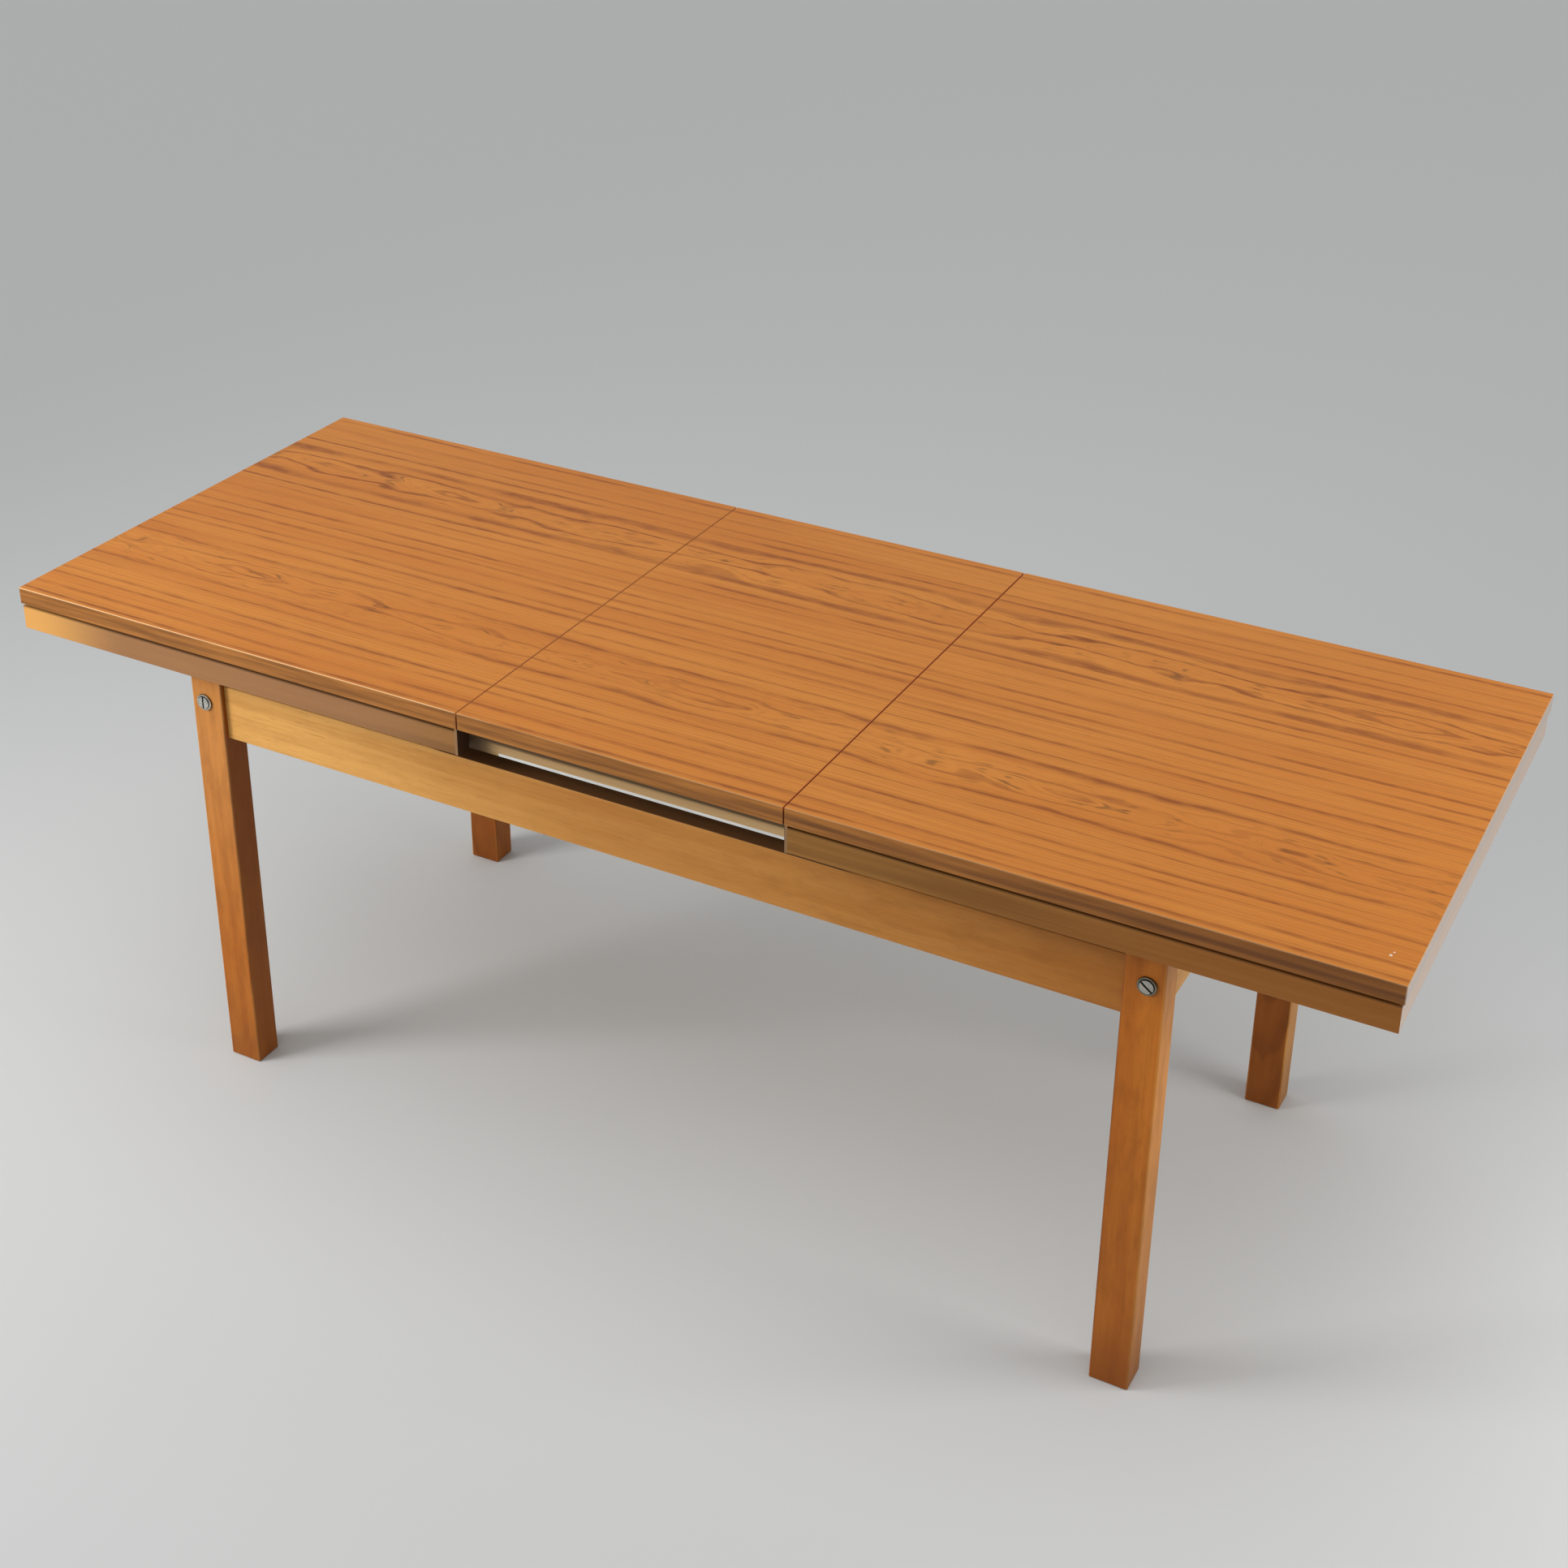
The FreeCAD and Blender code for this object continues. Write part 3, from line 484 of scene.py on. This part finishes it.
def frieze_finish(name, run, coat):
    """Brown straight-grained veneer under a share of gloss coat. It is redder to the right and greyer to
    the left; painted light makes it golden at the far left, a painted reflection makes the ends paler, and
    painted shade darkens it below the groove."""
    material, shader, axes, colour, fibres = solid_wood(
        name, run, frieze_pale, frieze_deep, band=frieze_band)
    x, _, z = axes
    colour = build_up(
        colour,
        (0.6 * x.rise(*frieze_warming), frieze_warm),
        (0.6 * x.rise(*frieze_greying), frieze_grey),
        # painted light: golden at the far left
        (0.8 * x.rise(*frieze_left_lighting), frieze_lit_gold))
    if run == "y":
        # painted reflection: the end boards are paler
        colour = lay_over(0.3, frieze_end_sheen, colour)
    # painted shade below the shadow groove
    groove_shade = z.rise(groove_foot - groove_fade, groove_foot - groove_full)
    colour = lay_over(0.52 * groove_shade, frieze_groove_shade, colour)
    close_finish(shader, colour, roughness=0.36 + 0.08 * fibres, height=fibres, depth=0.0001,
                 specular_ior_level=0.2, coat_weight=coat, coat_roughness=0.12)
    return material


frieze_long = frieze_finish("frieze_veneer_along", "x", coat=0.0)
frieze_short = frieze_finish("frieze_veneer_across", "y", coat=1.0)
lipping, lipping_shader, lipping_axes, lipping_colour, lipping_fibres = solid_wood(
    "pale_lipping", "z", lipping_pale, lipping_deep, band=lipping_band)
lipping_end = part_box("right_frieze_lippings")[0].x
# painted shade: the lipping's end facing the slot is dark
lipping_end_shade_share = abs(lipping_axes[0]).rise(lipping_end + lipping_fade, lipping_end + lipping_full)
lipping_colour = lay_over(lipping_end_shade_share, lipping_end_shade, lipping_colour)
close_finish(lipping_shader, lipping_colour, roughness=0.45, height=lipping_fibres, depth=0.0001)
for side in ("left", "right"):
    dress(frieze_long, f"{side}_frieze_front", f"{side}_frieze_rear")
    dress(frieze_short, f"{side}_frieze_end")
    dress(lipping, f"{side}_frieze_lippings")
    dress(beech_along, f"{side}_frieze_glue_blocks")

# Tops and leaf: veneered boards under a semi-gloss lacquer. Two sheets from one log lie side by side
# across the width, so the figured heart of the log comes twice, with straight streaks on both sides.

top_low, top_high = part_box("right_panel")
leaf_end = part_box("leaf_panel")[1].x
sheet_width = (top_high.y - top_low.y) / 2
sheet_shift = 0.41
heart_place = 0.142
heart_reach = 0.032
flame_size = (0.17, 0.045, 1.0)
flame_lift = 0.084
drift_size = (0.5, 0.12, 1.0)
drift_lift = 0.014
jitter_size = (0.045, 0.012, 1.0)
jitter_lift = 0.0034
jitter_heart_lift = 0.0050
ring_step = 0.0200
thread_step = 0.0047
uneven_size = (0.035, 1.0, 1.0)
ring_lane = 0.37
patch_size = (0.12, ring_lane, 1.0)
ragged_size = (0.022, 0.006, 1.0)
streak_size = (0.34, 0.0078, 1.0)
veneer_fleck_size = (0.028, 0.0011, 1.0)
veneer_fibre_size = (0.009, 0.0007, 1.0)
smudge_size = (0.032, 0.0045, 1.0)
broad_size = (0.5, 0.045, 1.0)
veneer_gold = stain(217, 138, 56)
veneer_red = stain(207, 125, 47)
streak_brown = stain(134, 66, 22)
smudge_brown = stain(92, 60, 28)
edge_pale = stain(176, 112, 46)
edge_deep = stain(130, 80, 28)
edge_shade = stain(112, 62, 12)
edge_grain_size = (0.11, 0.0045, 1.0)
edge_shading = (0.15, 0.65)
edge_line = stain(74, 34, 8)
edge_line_height = 0.0072
edge_line_width = 0.0048
edge_line_darkening = (-0.05, 0.20)
wander_size = (0.20, 1.0, 1.0)
wander_lift = 0.006
end_sheen = stain(216, 190, 156)
end_fade = 0.0012
end_full = 0.0006
# painted highlight on the top front arris: its colour follows, with its blot size and stretch
arris_highlight = stain(240, 196, 146)
arris_glint_size = (0.16, 1.0, 1.0)
arris_lighting = (-0.12, -0.22)
arris_fade = 0.0013
arris_full = 0.0006
coat_fade = 0.0004
coat_full = 0.0008
face_fade = 0.00016
face_full = 0.00004
back_pale = stain(186, 140, 92)
back_fade = 0.00004
back_full = 0.00001
seam_gap_shade = stain(140, 78, 34)
seam_worn = stain(208, 136, 72)
seam_red = stain(190, 96, 48)
seam_place = (top_low.x + leaf_end) / 2
seam_reddening = (-0.05, 0.05)
seam_fade = 0.0011
seam_full = 0.0006
seam_rim_fade = 0.0060
seam_rim_full = 0.0025
chip_pale = stain(238, 228, 212)
chip_places = ((0.7020, -0.2360, 0.0016), (0.7035, -0.2308, 0.0010))


def top_finish():
    """Sliced veneer: ring lines are steps of the distance from the heart line. Noise lifts that distance
    near the heart, so that the lines close into pointed flames there, and stay straight elsewhere."""
    material, shader, (x, y, z) = new_finish("lacquered_veneer")
    sheet = (y / sheet_width).maths("FLOOR", y / sheet_width)
    run = x + sheet_shift * sheet
    off_heart = y - sheet * sheet_width - heart_place
    near_heart = off_heart.maths("EXPONENT", off_heart * off_heart / -heart_reach ** 2)
    flame = cloud((run, off_heart, sheet), flame_size, seed=1.0) - 0.5
    drift = cloud((run, off_heart, sheet), drift_size, detail=1.0, seed=4.0) - 0.5
    jitter = cloud((run, off_heart, sheet), jitter_size, detail=2.5, seed=3.0) - 0.5
    rings = abs(off_heart) + flame_lift * flame * near_heart + drift_lift * drift
    rings = rings + (jitter_lift + jitter_heart_lift * near_heart) * jitter
    unevenness = cloud((rings, sheet, sheet), uneven_size, detail=1.0, seed=7.0) - 0.5

    def ring_lines(step, seed, gather, stop):
        """Dark lines that darken slowly from one side and end sharply, each with its own weight."""
        count = rings / step + 1.6 * unevenness
        ring = count.maths("FLOOR", count)
        part = count - ring
        label = ring.node("ShaderNodeCombineXYZ", {}, {0: ring, 1: sheet, 2: seed})
        weight = ring.node("ShaderNodeTexWhiteNoise", {"noise_dimensions": "3D"}, {"Vector": label})
        lane = ring * ring_lane + seed
        patches = cloud((run, lane, sheet), patch_size, seed=seed).rise(0.32, 0.60)
        ragged = cloud((run, y, sheet), ragged_size, detail=1.0, seed=seed + 30.0).rise(0.30, 0.62)
        share = (0.40 + 0.60 * weight) * (0.22 + 0.78 * patches) * (0.60 + 0.40 * ragged)
        return part.rise(gather, stop) * part.rise(1.0, stop) * share

    strong_lines = ring_lines(ring_step, seed=2.0, gather=0.54, stop=0.82)
    fine_lines = ring_lines(thread_step, seed=5.0, gather=0.30, stop=0.70)
    streaks = cloud((run, rings, sheet), streak_size, detail=2.5, seed=21.0).rise(0.50, 0.66)
    flecks = cloud((run, y, sheet), veneer_fleck_size, seed=9.0).rise(0.56, 0.76)
    fibres = cloud((run, y, sheet), veneer_fibre_size, detail=1.0, seed=11.0)
    smudges = near_heart * cloud((run, rings, sheet), smudge_size, seed=12.0).rise(0.56, 0.70)
    broad = cloud((run, y, sheet), broad_size, seed=13.0).rise(0.28, 0.72)
    face_colour = build_up(
        veneer_gold,
        (broad, veneer_red),
        (0.30 * fine_lines + 0.16 * (fibres - 0.3), streak_brown),
        ((0.16 - 0.08 * near_heart) * streaks, streak_brown),
        (0.22 * flecks, streak_brown),
        ((0.85 + 0.08 * near_heart) * strong_lines, streak_brown),
        (0.6 * smudges, smudge_brown))

    strip = x + y
    edge_grain = cloud((strip, z, sheet), edge_grain_size, detail=3.0, seed=15.0).rise(0.32, 0.70)
    wander = cloud((strip, sheet, sheet), wander_size, seed=19.0) - 0.5
    off_line = abs(z - (top_low.z + edge_line_height) - wander_lift * wander)
    end_face = abs(x).rise(top_high.x - end_fade, top_high.x - end_full)
    # painted highlight along the top front arris, stronger to the left
    arris_glint = cloud((strip, z, sheet), arris_glint_size, seed=17.0).rise(0.25, 0.50)
    arris_glint = arris_glint * (0.28 + 0.52 * x.rise(*arris_lighting))
    edge_colour = build_up(
        edge_pale,
        (edge_grain, edge_deep),
        # painted shade: the edge is darker to the right, where the light falls off
        (0.6 * x.rise(*edge_shading), edge_shade),
        ((0.15 + 0.35 * x.rise(*edge_line_darkening)) * off_line.rise(edge_line_width, 0.0), edge_line),
        # painted reflection: the end faces are paler
        (0.3 * end_face, end_sheen),
        (arris_glint * z.rise(top_high.z - arris_fade, top_high.z - arris_full), arris_highlight))

    # painted shade: the seams' walls are dark below their rims
    seam = abs(abs(x) - seam_place).rise(seam_fade, seam_full)
    seam_rim = lay_over(x.rise(*seam_reddening), seam_red, seam_worn)
    at_rim = z.rise(top_high.z - seam_rim_fade, top_high.z - seam_rim_full)
    seam_colour = lay_over(at_rim, seam_rim, seam_gap_shade)
    colour = build_up(
        edge_colour,
        (z.rise(top_high.z - face_fade, top_high.z - face_full), face_colour),
        (seam, seam_colour),
        (z.rise(top_low.z + back_fade, top_low.z + back_full), back_pale))
    for chip_x, chip_y, chip_size in chip_places:
        aside = x - chip_x
        ahead = y - chip_y
        chip = ((aside * aside + ahead * ahead) ** 0.5).rise(chip_size, 0.6 * chip_size)
        colour = lay_over(0.9 * chip, chip_pale, colour)

    coat = end_face * z.rise(top_high.z - coat_fade, top_high.z - coat_full)
    close_finish(shader, colour, roughness=0.30 + 0.10 * fibres, height=fibres, depth=0.00003,
                 specular_ior_level=0.35, coat_weight=coat, coat_roughness=0.08)
    return material


dress(top_finish(), "left_panel", "right_panel", "leaf_panel")
dress(beech_across, "leaf_cleats")
dress(zinc, "leaf_cleat_screws")

# Floor: a plain pale ground of smooth, matt cement, laid in one piece and far wider than the view, so
# that no edge of it shows from any side. The legs stand on it with nothing between.

floor_reach = 40.0
floor_pale = stain(200, 201, 200)
floor_mesh = bpy.data.meshes.new("floor")
floor_mesh.from_pydata([(-floor_reach, -floor_reach, 0), (floor_reach, -floor_reach, 0),
                        (floor_reach, floor_reach, 0), (-floor_reach, floor_reach, 0)], [], [(0, 1, 2, 3)])
floor = bpy.data.objects.new("floor", floor_mesh)
bpy.context.scene.collection.objects.link(floor)
ground = bpy.data.materials.new("pale_ground")
ground.use_nodes = True
ground_shader = ground.node_tree.nodes["Principled BSDF"]
ground_shader.inputs["Base Color"].default_value = floor_pale
ground_shader.inputs["Roughness"].default_value = 0.7
floor_mesh.materials.append(ground)

# Light: a dim even sky and a very soft light overhead, with two lamps: a broad one to the front left,
# which warms the legs' faces and the apron, and a smaller one to the right for the end of the table.

sky_colour = (0.95, 0.98, 1.0, 1.0)
sky_strength = 0.32
world = bpy.data.worlds.new("even_sky")
world.use_nodes = True
sky = world.node_tree.nodes["Background"]
sky.inputs["Color"].default_value = sky_colour
sky.inputs["Strength"].default_value = sky_strength
bpy.context.scene.world = world
bpy.context.scene.view_settings.view_transform = "Standard"


def hang_lamp(name, kind, place, aim, energy, **settings):
    """Lamp of a kind at a place, turned to face an aim. Only a sun shows in reflections."""
    lamp = bpy.data.lights.new(name, kind)
    lamp.energy = energy
    for setting, value in settings.items():
        setattr(lamp, setting, value)
    holder = bpy.data.objects.new(name, lamp)
    holder.location = place
    holder.rotation_euler = (Vector(aim) - Vector(place)).to_track_quat("-Z", "Y").to_euler()
    holder.visible_camera = False
    holder.visible_glossy = kind == "SUN"
    bpy.context.scene.collection.objects.link(holder)


hang_lamp("overhead_light", "SUN", place=(-0.8, -0.9, 3.0), aim=(0.0, 0.0, 0.0), energy=1.36,
          angle=math.radians(80))
hang_lamp("front_left_light", "AREA", place=(-1.85, -1.60, 1.35), aim=(-0.45, -0.24, 0.40), energy=11,
          size=0.9, spread=math.radians(95))
hang_lamp("right_light", "AREA", place=(1.50, 0.10, 0.72), aim=(0.6, -0.1, 0.35), energy=7, size=0.6)

# Camera: at the photograph's height and angle, turned left of straight ahead and down. Its lens is
# shifted a little, so that upright edges lean much as they do in the photograph.

camera_place = (0.9971, -1.8348, 1.6130)
camera_turn = 0.4854
camera_dip = 0.4461
camera_roll = 0.0106
camera_focus = 2894.66
photo_width = 1932
photo_rise = 266
lens = bpy.data.cameras.new("camera")
lens.sensor_width = 36.0
lens.lens = lens.sensor_width * camera_focus / photo_width
lens.shift_y = -photo_rise / photo_width
camera = bpy.data.objects.new("camera", lens)
camera.matrix_world = (Matrix.Translation(camera_place) @ Matrix.Rotation(camera_turn, 4, "Z")
                       @ Matrix.Rotation(math.pi / 2 - camera_dip, 4, "X")
                       @ Matrix.Rotation(camera_roll, 4, "Z"))
bpy.context.scene.collection.objects.link(camera)
bpy.context.scene.camera = camera
